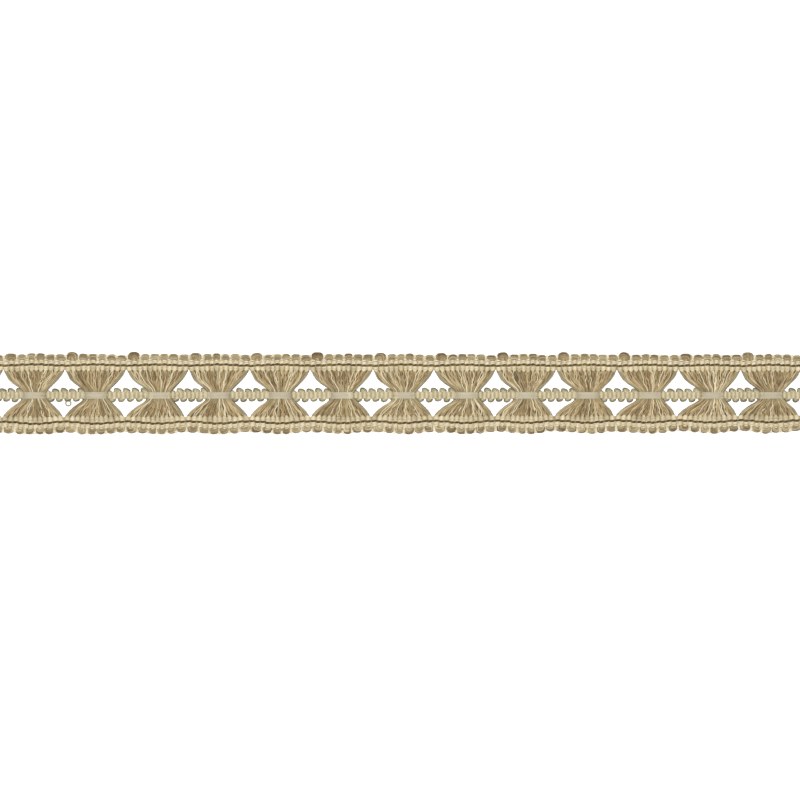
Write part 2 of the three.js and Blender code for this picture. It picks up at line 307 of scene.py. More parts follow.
# How the floats of a tie differ, all as painted sheen: in tone, in how smooth each float and the whole tie
# is, that is how much greyer white they take on and how much fainter their plies are, and in how much the
# tone changes from one end of the tie to the other
FLOAT = dict(tone=0.12, gloss=(0.7, 1.0), tie_gloss=(0.85, 1.0), slope=0.5)

# Where the gimp's ends bend, as shares of the length of a rib and of a tie
RIB_SHARES = (0, 0.25, 0.5, 0.75)
TIE_SHARES = (0, 0.03, 0.08, 0.16, 0.3, 0.5, 0.7, 0.84, 0.92, 0.97)

# Small loops of the gimp: side, root, depth, lean and tone of those above it and below it, their half
# width, how unevenly deep they are, and how far a lean shifts one. Those beside a tie are smaller and lie
# lower.
ABOVE_GIMP = dict(side=1, root=GIMP["high"], depth=1.55, lean=0.6, tone=0.55)
BELOW_GIMP = dict(side=-1, root=-GIMP["low"], depth=1.35, lean=0.3, tone=0.5)
GIMP_LOOP = dict(half_width=1.3, uneven=(-0.2, 0.25), shift=0.3)
BESIDE_TIE = dict(half_width=0.9, depth=0.8, lower=0.2)

# How the small loops differ in tone, from loop to loop and strand to strand, and how much painted shade
# darkens them on the outside, from which share of the way out and over how much of it
GIMP_TONE = dict(loops=(-0.08, 0.1), strands=0.1, outside=0.5, start=0.25, over=0.4)

# One strand of the gimp's weft that has been pulled out into a ring below the rest: its centre, radius,
# half thickness, level and tone, the half angle of its opening in degrees, its points, and how far each of
# its ends begins from the middle
PULLED = dict(
    x=-136.4, y=-4.15, radius=1.05, yarn=0.26, level=0.6, tone=0.3, opening=20, points=13, apart=0.2,
)

# Look of every yarn: specular level, roughness of the sheen, and size, detail and depth of its uneven
# dyeing
SPECULAR = 0.25
SHEEN_ROUGHNESS = 0.5
SLUB = dict(size=3.0, detail=3.0, depth=0.5)

# The plies of a yarn: how much lighter and darker their painted light and shade make it round a middle shade,
# and the height and strength of their relief
PLIES = 2
PLY_SHADE = dict(depth=0.18, middle=0.92)
PLY_RELIEF = dict(height=0.03, strength=0.6)

# The photograph: its width in pixels, one of its pixels in millimetres, and the pixel at the middle of the
# braid
PHOTO = 800
PIXEL = 0.4078
MIDDLE = (403, 393.05)

# Lens and sensor of the camera, the lamp's two sizes and its place in metres and its power, the strength of
# the room's light, and half the floor's size in metres and how far under the braid it lies
LENS = 100.0
SENSOR = 36.0
LAMP = dict(long=0.35, wide=0.3, place=(-0.02, 0.03, 1.1), power=15.5)
ROOM_LIGHT = 0.15
FLOOR = dict(half=3, under=0.02)


def column(rows, name):
    """One column of a table, as an array."""
    return np.array([row[name] for row in rows], float)


def linear(code, alpha=1.0):
    """An sRGB hex colour as linear red, green, blue and alpha."""
    parts = [int(code[i:i + 2], 16) / 255 for i in (1, 3, 5)]
    return tuple(c / 12.92 if c <= 0.04045 else ((c + 0.055) / 1.055) ** 2.4 for c in parts) + (alpha,)


def smooth(t):
    """An easing from 0 to 1."""
    t = np.clip(t, 0, 1)
    return t * t * (3 - 2 * t)


def curve_through(x, knots, values):
    """A smooth curve through the knots, read at every x."""
    slope = np.gradient(values, knots)
    i = np.clip(np.searchsorted(knots, x) - 1, 0, len(knots) - 2)
    span = knots[i + 1] - knots[i]
    t = (x - knots[i]) / span
    start = (2 * t**3 - 3 * t**2 + 1) * values[i] + (t**3 - 2 * t**2 + t) * slope[i] * span
    end = (-2 * t**3 + 3 * t**2) * values[i + 1] + (t**3 - t**2) * slope[i + 1] * span
    return start + end


# Places along the braid

JUNCTIONS = {
    name: np.array(
        [-LENGTH / 2] + [-LENGTH / 2 + REPEAT * (i + 1) + row[name] for i, row in enumerate(STRAYS)]
    )
    for name in HEADINGS
}
WAISTS = np.array([-LENGTH / 2 + REPEAT * (i + 0.5) + row["waist"] for i, row in enumerate(STRAYS)])


def sway(heading, x, share=1.0):
    """How far outwards a heading has swayed at x, where it follows that share of the wave."""
    return share * heading["wave"] * np.cos(2 * np.pi * x / REPEAT) - heading["drift"] * x / (LENGTH / 2)


def pick_x(name, pick):
    """The x of a pick of weft on a heading; the picks lie a little further apart near the junctions."""
    pick = np.asarray(pick, float)
    bow = np.clip(pick // PICKS_PER_BOW, 0, BOWS - 1).astype(int)
    share = pick / PICKS_PER_BOW - bow
    spread = share + PICK_SPREAD / (2 * np.pi) * np.sin(2 * np.pi * share)
    left, right = JUNCTIONS[name][bow], JUNCTIONS[name][bow + 1]
    return left + (right - left) * spread


# Yarn meshes

def tubes(path, wide, high, tone, extra=0.0, sides=5):
    """Many yarns with the same number of points, as one set of closed tubes that lie on or above the table.
    path is yarns by points by 3; wide and high are half sizes across and up; tone and extra colour the
    yarns."""
    yarns, points = path.shape[:2]
    full = (yarns, points)
    wide, high, tone, extra = (np.broadcast_to(a, full) for a in (wide, high, tone, extra))
    path = np.concatenate([path[..., :2], np.maximum(path[..., 2], high)[..., None]], axis=2)
    along = np.gradient(path, axis=1)
    along /= np.linalg.norm(along, axis=2, keepdims=True)
    across = np.cross(along, (0.0, 0.0, 1.0))
    across /= np.maximum(np.linalg.norm(across, axis=2, keepdims=True), 1e-6)
    up = np.cross(across, along)
    angle = np.arange(sides) * 2 * np.pi / sides
    ring = (
        path[:, :, None]
        + (wide[:, :, None] * np.cos(angle))[..., None] * across[:, :, None]
        + (high[:, :, None] * np.sin(angle))[..., None] * up[:, :, None]
    )
    step = np.linalg.norm(np.diff(path, axis=1), axis=2)
    length = np.concatenate([np.zeros((yarns, 1)), np.cumsum(step, axis=1)], axis=1)
    index = np.arange(yarns * points * sides).reshape(yarns, points, sides)
    nearer, further = index[:, :-1], index[:, 1:]
    quads = np.stack([nearer, further, np.roll(further, -1, 2), np.roll(nearer, -1, 2)], axis=3)
    turn = np.arange(sides + 1) / sides
    u = np.stack([turn[:-1], turn[:-1], turn[1:], turn[1:]], axis=1)
    u = np.broadcast_to(u, (yarns, points - 1, sides, 4))
    v = np.stack([length[:, :-1], length[:, 1:], length[:, 1:], length[:, :-1]], axis=2)
    v = np.broadcast_to(v[:, :, None], (yarns, points - 1, sides, 4))
    caps = np.concatenate([index[:, 0], index[:, -1, ::-1]])
    spread = (yarns, points, sides)
    return dict(
        corners=ring.reshape(-1, 3),
        quads=quads.reshape(-1, 4),
        uv=np.stack([u, v], axis=4).reshape(-1, 2),
        caps=caps,
        tone=np.broadcast_to(tone[:, :, None], spread).reshape(-1),
        extra=np.broadcast_to(extra[:, :, None], spread).reshape(-1),
    )


def yarn_piece(name, groups, material, node):
    """One mesh of many yarns, which stands for a CAD node and rides on the only body."""
    corners, quads, uv, caps, tone, extra, start = [], [], [], [], [], [], 0
    for group in groups:
        corners.append(group["corners"])
        quads.append(group["quads"] + start)
        caps.extend((group["caps"] + start).tolist())
        uv.append(group["uv"])
        tone.append(group["tone"])
        extra.append(group["extra"])
        start += len(group["corners"])
    faces = np.concatenate(quads).tolist() + caps
    mesh = bpy.data.meshes.new(name)
    mesh.from_pydata(np.concatenate(corners) * MM, [], faces)
    layer = mesh.uv_layers.new(name="yarn")
    flat = np.concatenate(uv)
    flat = np.concatenate([flat, np.zeros((len(mesh.loops) - len(flat), 2))])
    layer.data.foreach_set("uv", flat.astype(np.float32).ravel())
    for label, values in (("tone", tone), ("extra", extra)):
        attribute = mesh.attributes.new(label, "FLOAT", "POINT")
        attribute.data.foreach_set("value", np.concatenate(values).astype(np.float32))
    mesh.polygons.foreach_set("use_smooth", np.ones(len(mesh.polygons), bool))
    mesh.materials.append(material)
    mesh.update()
    piece = bpy.data.objects.new(name, mesh)
    bpy.context.scene.collection.objects.link(piece)
    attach(piece, "root")
    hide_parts(node)


# Warp-rib bands of the headings

def warp_band(name, route, count, band, lump, seed):
    """Warp ends that run the length of a heading, over one pick and under the next, so that the picks show
    as ribs. route gives the two edges of the band at every x."""
    heading = HEADINGS[name]
    rng = np.random.default_rng(seed + heading["seed"])
    pick = np.linspace(0, PICKS, PICKS * STEPS_PER_PICK + 1)
    tops = np.arange(PICKS) + 0.5
    wave = np.cos(np.pi * (pick - 0.5))
    swell = 1 + UNEVEN_BAND["swell"] * np.interp(pick, tops, rng.uniform(-1, 1, PICKS))
    jut = np.interp(pick, tops, rng.uniform(*UNEVEN_BAND["lump"], PICKS))
    in_bow = 2 * (pick / PICKS_PER_BOW % 1) - 1
    x = pick_x(name, pick)
    near, far = route(x)
    paths, widths, tones = [], [], []
    for end in range(count):
        sign = 1 if end % 2 == 0 else -1
        turn = sign * wave
        place = (end + 0.5) / count
        pair = 2 * (end // 2 + 0.5) / count
        edge = (1 - pair if lump["side"] < 0 else pair) ** LUMP_SHAPE["across"]
        bow_out = edge * np.clip(turn, 0, 1) ** LUMP_SHAPE["along"] * jut
        tilt = heading["side"] * band["tilt"] * np.sin(np.pi * (pick - 0.5)) * sign
        height = np.interp(np.sign(turn) * np.abs(turn) ** band["crest"], (-1, 0, 1), band["levels"])
        wander = UNEVEN_BAND["wander"] * np.sin(pick * UNEVEN_BAND["pace"] + end)
        stray = wander + UNEVEN_BAND["jitter"] * rng.standard_normal(len(pick))
        out = near + (far - near) * place + lump["side"] * lump["reach"] * bow_out + tilt + stray
        along = x - lump["lean"] * in_bow * bow_out
        paths.append(np.stack([along, heading["side"] * out, height * swell], axis=1))
        slim = 1 - band["slim"] * np.clip(-turn, 0, 1) + lump["fatter"] * bow_out
        widths.append(band["half"] * (band["between"] + (1 - band["between"]) * np.abs(turn)) * slim)
        tone = band["tone"] + lump["pale"] + UNEVEN_BAND["tone"] * rng.uniform(-1, 1)
        # A positive dim, on the inner lumps, is painted shade at the band's inner edge
        tone = tone + UNEVEN_BAND["swell_tone"] * (swell - 1) - lump["dim"] * bow_out
        # Brighter on top of each turn: a painted highlight
        tones.append(tone + UNEVEN_BAND["top_tone"] * np.clip(turn, 0, 1))
    # Painted shade in the hollow between two picks; the thread's negative shade makes it paler there
    tones = np.array(tones) - lump["groove"] * band["shade"] * (1 - np.abs(wave)) ** 2
    return tubes(np.array(paths), np.array(widths), band["plump"], tones, sides=band["sides"])


def heading_band(name, cream):
    """The cream ends on both sides of the brown thread, and the picks that cross under it."""
    heading = HEADINGS[name]

    def inner_route(x):
        thread = heading["thread"] + sway(heading, x)
        return heading["inner"] + INNER_SET_BACK + sway(heading, x, INNER_SHARE), thread - THREAD_ROOM

    def outer_route(x):
        swayed = sway(heading, x)
        return heading["thread"] + swayed + THREAD_ROOM, heading["root"] + swayed

    x = pick_x(name, np.arange(PICKS) + 0.5)[:, None] * np.ones(len(PICK["reach"]))
    across = heading["side"] * (np.array(PICK["reach"]) + heading["thread"] + sway(heading, x))
    path = np.stack([x, across, np.full_like(x, PICK["level"])], axis=2)
    groups = [
        warp_band(name, inner_route, heading["inner_ends"], CREAM_BAND, INNER_LUMP, SEEDS["inner_band"]),
        warp_band(name, outer_route, heading["outer_ends"], CREAM_BAND, OUTER_LUMP, SEEDS["outer_band"]),
        tubes(path, PICK["half"], PICK["high"], PICK["tone"]),
    ]
    yarn_piece(f"heading_{name}_warp", groups, cream, f"heading_{name}")


def line_thread(name, brown):
    """Two dark brown ends that take turns on top, a little apart, which makes one slanting dash to each
    rib."""
    heading = HEADINGS[name]

    def route(x):
        middle = heading["thread"] + sway(heading, x)
        return middle - THREAD_SPREAD, middle + THREAD_SPREAD

    group = warp_band(name, route, 2, THREAD_BAND, NO_LUMP, SEEDS["thread"])
    yarn_piece(f"line_thread_{name}_yarn", [group], brown, f"line_thread_{name}")


# Loops outside the headings and the gimp

def loop_bundle(bundle, rng, centre, side, legs, half_width, root, crest, lean):
    """The strands of one loop, which twist round each other on their way out of one pick, round in a
    squarish arch and back into the next, and one broad strand that fills the loop. lean makes the arch
    steep on its left and slant on its right. Gives the paths, their half widths and half heights, how far
    out in the bundle each point lies, and how near the crest."""
    strands, yarn, deep, points = bundle["strands"], bundle["yarn"], bundle["deep"], bundle["points"]
    turn = np.linspace(-1, 1, points)[None]
    steps = np.arange(strands)[:, None] + rng.uniform(*ARCH["uneven"], (strands, 1))
    angle = 2 * np.pi * steps / strands + rng.uniform(*bundle["twist"]) * turn * rng.choice((-1, 1))
    roundness = rng.uniform(*bundle["roundness"])
    outward = (1 + np.cos(angle)) / 2
    inset = yarn + 2 * (deep - yarn) * (1 - outward)
    middle = (bundle["low"] + bundle["high"]) / 2
    level = middle + ((bundle["high"] - bundle["low"]) / 2 - yarn) * np.sin(angle)
    sweep = np.concatenate([[0, 0], np.linspace(0, np.pi, points - 4), [np.pi, np.pi]])[None]
    near_crest = np.sin(sweep).clip(0) * np.ones_like(inset)
    wide = np.maximum(half_width - yarn - bundle["legs"] * (inset - yarn), ARCH["narrowest"])
    tall = np.maximum(crest - inset, root + ARCH["lowest"])
    foot = root + ARCH["foot"] * (tall - root)
    x = -wide * np.sign(np.cos(sweep)) * np.abs(np.cos(sweep)) ** roundness
    x = x + lean * (sweep / np.pi * (1 - near_crest) - ARCH["back"] * near_crest)
    y = foot + (tall - foot) * near_crest ** roundness
    z = level.copy()
    for end, hand, back in ((0, -1, "far"), (1, -1, "near"), (-2, 1, "near"), (-1, 1, "far")):
        x[:, end] = hand * legs + LEG["width"] * (x[:, end] - hand * legs)
        y[:, end] = root - LEG[back]
        z[:, end] = LEG["level"] + LEG["depth"] * (level[:, end] - middle)
    along = np.linspace(0, 1, points)[None]
    fill = np.stack([
        (FILLER["slant"] * along - FILLER["back"]) * lean,
        root - LEG["near"] + along * (crest - FILLER["short"] - root + LEG["near"]),
        np.full_like(along, FILLER["level"]),
    ], axis=2)
    path = np.concatenate([np.stack([x, y, z], axis=2), fill])
    path = path * (1, side, 1) + (centre, 0, 0) + rng.uniform(-ARCH["stray"], ARCH["stray"], path.shape)
    half_wide, half_high = np.full((2, strands + 1, points), yarn)
    full = max(half_width - 2 * deep * bundle["legs"], FILLER["least"]) + FILLER["beside"]
    taper = (FILLER["base"], 1, FILLER["tip"])
    half_wide[-1] = full * np.interp(along[0], (0, FILLER["widest_at"], 1), taper)
    half_high[-1] = FILLER["high"]
    outward = np.concatenate([outward, np.zeros((1, points))])
    near_crest = np.concatenate([near_crest, np.zeros((1, points))])
    return path, half_wide, half_high, outward, near_crest


def loop_edge(name, tan, cream):
    """The row of loops of one heading, with a cream stitch between each two. The first loop after each
    junction is bigger and browner."""
    heading = HEADINGS[name]
    rng = np.random.default_rng(SEEDS["loops"] + heading["seed"])
    starts = (PICKS_PER_BOW * np.arange(BOWS)[:, None] + heading["loops"]).ravel()
    paths, wides, highs, tones, greys = [], [], [], [], []
    for loop, (start, stop) in enumerate(zip(starts, np.append(starts[1:], PICKS))):
        left, first, second, right = pick_x(name, [start, start + 0.5, stop - 0.5, stop])
        centre = (left + right) / 2 + rng.uniform(-LOOP["off_place"], LOOP["off_place"])
        big = loop % len(heading["loops"]) == 0
        swayed = sway(heading, centre)
        crest = heading["reach"] + swayed + rng.uniform(*LOOP["off_reach"])
        crest = rng.uniform(crest, HALF_WIDTH) if big and name == "upper" else min(crest, HALF_WIDTH)
        half_width = (right - left) * (LOOP["big"] if big else rng.uniform(*LOOP["half"]))
        lean = np.clip(rng.normal(0, heading["lean"]), -LOOP["most_lean"], LOOP["most_lean"]) * (not big)
        path, wide, high, outward, near_crest = loop_bundle(
            BUNDLES["big" if big else name], rng, centre, heading["side"], (second - first) / 2, half_width,
            heading["root"] + swayed, crest, lean,
        )
        shade = rng.uniform(-LOOP_TONE["differ"], LOOP_TONE["differ"])
        paths.append(path)
        wides.append(wide)
        highs.append(high)
        brightest = heading["big_tone"] if big else LOOP_TONE["most"]
        strand = rng.uniform(LOOP_TONE["least"], brightest, (len(path), 1))
        strand[-1] = LOOP_TONE["filler"]
        # Darker on the outside of the crest: painted shade
        tones.append(strand + shade - LOOP_TONE["crest"] * outward**2 * near_crest)
        greyest = LOOP_TONE["grey"] - LOOP_TONE["less_grey"] * big
        greys.append(rng.uniform(0, greyest, (len(path), 1)) * (1 - outward))
    paths, wides, highs, tones, greys = (np.concatenate(a) for a in (paths, wides, highs, tones, greys))
    group = tubes(paths, wides, highs, tones.clip(0, 1), greys)
    yarn_piece(f"loop_edge_{name}_yarn", [group], tan, f"loop_edge_{name}")
    edge_stitches(name, starts[1:], rng, cream)


def edge_stitches(name, picks, rng, cream):
    """The cream stitches that come up out of one heading between its loops."""
    heading = HEADINGS[name]
    between = pick_x(name, picks)[:, None]
    swayed = sway(heading, between)
    turn = np.linspace(0, np.pi, STITCH["points"])[None]
    tip = heading["reach"] + swayed - STITCH["short"] + rng.uniform(*STITCH["stray"], between.shape)
    foot = heading["root"] + swayed - STITCH["inside"]
    one = np.ones_like(between)
    x = np.concatenate([-one, -np.cos(turn) * one, one], axis=1)
    y = np.concatenate([foot, tip - STITCH["arch"] + STITCH["arch"] * np.sin(turn), foot], axis=1)
    raised = np.concatenate([[0], np.ones(STITCH["points"]), [0]])
    z = STITCH["low"] + (STITCH["high"] - STITCH["low"]) * raised
    path = np.stack([between + STITCH["half_width"] * x, heading["side"] * y, z * np.ones_like(y)], axis=2)
    tone = rng.uniform(*STITCH["tone"], between.shape)
    stitches = tubes(path, STITCH["yarn"], STITCH["yarn"], tone, sides=4)
    yarn_piece(f"loop_edge_{name}_stitches", [stitches], cream, f"loop_edge_{name}")


# Skeins

def by_tie(y):
    """How near the tie the places along a skein are, from 0 in the open fans to 1 under it."""
    return smooth((BY_TIE["within"] - np.abs(y - WAIST_Y)) / BY_TIE["over"])


def wave_along(y, size_and_pace, phase, share=1.0):
    """A wave along the yarns of a skein, of which each yarn has its share."""
    size, pace = size_and_pace
    return size * share * np.sin(pace * y + phase)


def skein_layer(i, rng, layer):
    """The yarns of one layer of a skein, from the lower heading to the upper one. Gives their paths, the
    place of each across the skein, from -1 on its left to 1, and their places along Y."""
    below, above = layer["bends"]
    y = np.concatenate([
        BENDS["lower"], np.linspace(*BENDS["below"], below), BENDS["waist"],
        np.linspace(*BENDS["above"], above), BENDS["upper"],
    ])[None]
    knots = column(SKEIN_ROWS, "y")
    low, top, gather, free, left, right = (
        curve_through(y, knots, column(SKEIN_ROWS, name))
        for name in ("low", "top", "gather", "free", "left", "right")
    )
    free, gather = np.clip(free, 0, 1), np.clip(gather, 0, 1)
    per_pick = layer["per_pick"]
    count = PICKS_PER_BOW * per_pick
    pick = i * PICKS_PER_BOW + np.repeat(np.arange(PICKS_PER_BOW), per_pick) + 0.5
    off_bunch = rng.uniform(-UNEVEN_SKEIN["bunch"], UNEVEN_SKEIN["bunch"], count)
    beside = np.tile(np.linspace(-1, 1, per_pick), PICKS_PER_BOW) + off_bunch
    loose = smooth((LOOSE["from_y"] - np.abs(y)) / LOOSE["over"])
    bunch = layer["bunch"] + (layer["fanned"] - layer["bunch"]) * loose
    share, centre, stretch, out = [], [], [], []
    for name, heading in HEADINGS.items():
        a, b = JUNCTIONS[name][i], JUNCTIONS[name][i + 1]
        place = pick_x(name, pick)[:, None] + beside[:, None] * bunch
        centre.append((a + b) / 2)
        stretch.append((b - a) / REPEAT)
        share.append((place - (a + b) / 2) / (HALF_SKEIN * (b - a) / REPEAT))
        out.append(heading["side"] * sway(heading, place, INNER_SHARE))
    off_waist = rng.uniform(-UNEVEN_SKEIN["waist"], UNEVEN_SKEIN["waist"], count)
    waist = (share[0][:, 0] + share[1][:, -1]) / 2 + off_waist
    waist = np.sort(waist)[:, None] / (np.abs(waist).max() * UNEVEN_SKEIN["margin"])
    upper = y > WAIST_Y
    side = np.where(upper, share[0], share[1])
    middle = np.where(upper, centre[0], centre[1])
    middle = middle + (WAISTS[i] - middle) * gather
    scale = np.where(upper, stretch[0], stretch[1])
    scale = scale + (1 - scale) * gather
    u = side + (waist - side) * gather
    phase = rng.uniform(0, 2 * np.pi, (3, count, 1))
    size = rng.uniform(*WANDER["sizes"], (3, count, 1))
    clump, across_pace, along_pace = WANDER["clumps"]
    wander = layer["wander"] * (
        wave_along(y, WANDER["slow"], phase[0], size[0])
        + wave_along(y, WANDER["quick"], phase[1], size[1])
        + clump * np.sin(2 * np.pi * (across_pace * u + along_pace * y) + rng.uniform(0, 6))
    )
    steady = 1 - WANDER["at_edge"] * np.abs(u) ** 3
    x = middle + u * np.where(u < 0, left, right) * scale + free * wander * steady
    level = layer["low"] + (layer["high"] - layer["low"]) * np.where(upper, *rng.uniform(0, 1, (2, count, 1)))
    drop = CROWN["drop"] * u**2 * np.clip(gather * CROWN["soon"], 0, 1)
    thick = (top - low - 2 * YARN_HIGH) * np.sqrt(np.clip(1 - drop, UNEVEN_SKEIN["thinnest"], 1))
    lift, pace = WANDER["lift"]
    lifted = free * lift * size[2] * np.sin(pace * y + phase[2])
    z = (top + low) / 2 + (level - 0.5) * thick + lifted
    across = y + (1 - gather) * np.where(upper, out[0], out[1])
    return np.stack([x, across, z], axis=2), u, y


def skein(number, tan, pale):
    """The weft yarns of one bow, fanned out in the headings and gathered under the tie."""
    rng = np.random.default_rng(SEEDS["skein"] + number)
    label = f"skein_{number:02d}"
    under, u, y = skein_layer(number - 1, rng, UNDER_LAYER)
    # The under layer's dark tones are painted shade
    tone = rng.normal(UNDER_TONE["mean"], UNDER_TONE["spread"], (len(under), 1))
    grey = UNDER_TONE["grey_by_tie"] * by_tie(y)
    groups = [tubes(under, UNDER_LAYER["half"], YARN_HIGH, tone.clip(0, 1), grey, sides=4)]
    top, u, y = skein_layer(number - 1, rng, TOP_LAYER)
    near_tie = by_tie(y)
    count = len(top)
    phase = rng.uniform(0, 2 * np.pi, (3, count, 1))
    tone = rng.normal(TOP_TONE["mean"], TOP_TONE["spread"], (count, 1))
    tone = tone + wave_along(y, TOP_TONE["slow"], phase[0]) + wave_along(y, TOP_TONE["quick"], phase[1])
    upper = y > WAIST_Y
    left_edge = smooth((-u - EDGE["start"]) / EDGE["over"])
    right_edge = smooth((u - EDGE["start"]) / EDGE["over"])
    straw = smooth((-u - STRAW["start"]) / STRAW["over"]) * (1 - left_edge)
    straw = straw * smooth((y - STRAW["from_y"]) / STRAW["over_y"])
    tone = tone + STRAW["tone"] * straw + RIGHT_EDGE["tone"] * right_edge
    # Darker by the tie: painted shade where the yarns dive under it
    tone = tone + np.where(upper, *LEFT_EDGE["tone"]) * left_edge - TOP_TONE["by_tie"] * near_tie
    grey = RIGHT_EDGE["grey"] * right_edge + np.where(upper, *LEFT_EDGE["grey"]) * left_edge
    grey = grey + TOP_TONE["grey_by_tie"] * near_tie + rng.uniform(0, TOP_TONE["grey"], (count, 1))
    brown_at = np.where(upper, *rng.uniform(-BROWN["within"], BROWN["within"], 2))
    brown = BROWN["darker"] * np.exp(-(((u - brown_at) / BROWN["half"]) ** 2)) * (1 - near_tie)
    tone = tone - brown + BROWN["rest"]
    is_pale = np.zeros(count, bool)
    pale_yarns = rng.integers(*PALE["per_bow"])
    inner = np.flatnonzero(np.abs(u[:, -1]) < PALE["within"])
    is_pale[rng.choice(inner, pale_yarns, replace=False)] = True
    tan_tone, tan_grey = tone[~is_pale].clip(0, 1), grey[~is_pale].clip(0, 1)
    groups.append(tubes(top[~is_pale], TOP_LAYER["half"], YARN_HIGH, tan_tone, tan_grey))
    yarn_piece(f"{label}_tan", groups, tan, label)
    clear = smooth((PALE["from_y"] - np.abs(y)) / PALE["over"])
    rise = clear * (PALE["rise"] + PALE["wave"] * np.sin(PALE["pace"] * y + phase[2, is_pale]))
    pale_path = top[is_pale] + rise[..., None] * (0.0, 0.0, 1.0)
    pale_tone = PALE["tone"] + PALE["share"] * tone[is_pale].clip(0, 1)
    cream = tubes(pale_path, PALE["half"], PALE["half"], pale_tone)
    yarn_piece(f"{label}_cream", [cream], pale, label)


# Centre gimp

def gimp_picks():
    """Every rib and tie of the gimp from left to right: where it begins and ends, and whether it is a
    tie."""
    picks = []
    for gap in range(BOWS + 1):
        first = WAISTS[gap - 1] + TIE["right"] if gap else -LENGTH / 2
        last = WAISTS[gap] - TIE["left"] if gap < BOWS else LENGTH / 2
        count = GIMP["ribs"] if 0 < gap < BOWS else GIMP["ribs"] // 2
        edges = np.linspace(first, last, count + 1)
        picks += [(a, b, False) for a, b in zip(edges[:-1], edges[1:])]
        if gap < BOWS:
            picks.append((last, WAISTS[gap] + TIE["right"], True))
    return picks


def rib_profile(share):
    """How full a rib is at a share of its length, and the levels of the ends over and under it."""
    bulge = math.sin(math.pi * share) ** GIMP["crest"]
    over = GIMP["mid"] + (GIMP["top"] - GIMP["mid"]) * bulge
    under = GIMP["mid"] - (GIMP["mid"] - GIMP["under"]) * bulge
    return bulge, over, under


def tie_profile(share):
    """How full a tie is at a share of its length, and the levels of the floats over and under it."""
    bulge = (1 - abs(2 * share - 1) ** TIE["round"]) ** (1 / TIE["round"]) if share else 0.0
    over = TIE["cross"] + (TIE["top"] - TIE["cross"]) * bulge
    under = TIE["cross"] - (TIE["cross"] - TIE["under"]) * min(1, bulge * TIE["soon"])
    return bulge, over, under


def gimp_warp(cream):
    """The gimp's ends: over and under its ribs, and half of them over and half under each waist."""
    rng = np.random.default_rng(SEEDS["gimp_warp"])
    middle = (GIMP["low"] + GIMP["high"]) / 2
    ends = GIMP["ends"]
    place = np.linspace(GIMP["low"] + GIMP["inside"], GIMP["high"] - GIMP["inside"], ends)
    rows, widths, satin, shades = [], [], [], []
    for n, (a, b, is_tie) in enumerate(gimp_picks()):
        # The floats' own tones on a tie and their shares of the greyer white are painted sheen
        lustre = rng.uniform(-FLOAT["tone"], FLOAT["tone"], ends)
        gloss = rng.uniform(*FLOAT["gloss"], ends) * rng.uniform(*FLOAT["tie_gloss"])
        slope = rng.uniform(-FLOAT["slope"], FLOAT["slope"])
        satin_from, satin_to = rng.uniform(*TIE["satin_from"]), rng.uniform(*TIE["satin_to"])
        is_over = (np.arange(ends) + n) % 2 == 0
        for share in TIE_SHARES if is_tie else RIB_SHARES:
            bulge, over, under = tie_profile(share) if is_tie else rib_profile(share)
            smoothness = float(is_tie and satin_from < share < satin_to)
            pinch = 1 - TIE["pinch"] * bulge if is_tie else 1.0
            row = np.zeros((ends, 3))
            row[:, 0] = a + (b - a) * share
            row[:, 1] = middle + (place - middle) * pinch
            row[:, 2] = np.where(is_over, over, under)
            rows.append(row)
            widths.append(np.full(ends, GIMP["half"] * (GIMP["between"] + (1 - GIMP["between"]) * bulge)))
            # Over a waist the floats take on the greyer white second colour by this share, a painted sheen,
            # and lose most of their ply stripes
            satin.append(np.where(is_over, smoothness * gloss, 0.0))
            # Between two ribs the ends are darker: painted shade in the hollow
            dark = np.full(ends, -GIMP["shade"] * (1 - bulge))
            shades.append(lustre + slope * (share - 0.5) if is_tie else dark)
    path = np.array(rows).transpose(1, 0, 2)
    path[:, 1:-1, 1:] += rng.normal(0, GIMP["stray"], path[:, 1:-1, 1:].shape)
    tone = GIMP["tone"] + GIMP["differ"] * rng.uniform(-1, 1, (ends, 1)) + np.array(shades).T
    group = tubes(path, np.array(widths).T, GIMP["plump"], tone, np.array(satin).T, sides=4)
    yarn_piece("centre_gimp_warp", [group], cream, "centre_gimp")


def pulled_strand():
    """The strand of the gimp's weft that has been pulled out into a ring."""
    start, stop = 90 + PULLED["opening"], 450 - PULLED["opening"]
    angle = np.radians(np.linspace(start, stop, PULLED["points"]))
    ring_x = PULLED["radius"] * np.cos(angle)
    ring_y = PULLED["y"] + PULLED["radius"] * np.sin(angle)
    x = PULLED["x"] + np.concatenate([[-PULLED["apart"]], ring_x, [PULLED["apart"]]])
    y = np.concatenate([[GIMP["low"]], ring_y, [GIMP["low"]]])
    path = np.stack([x, y, np.full(len(y), PULLED["level"])], axis=1)[None]
    return tubes(path, PULLED["yarn"], PULLED["yarn"], PULLED["tone"])


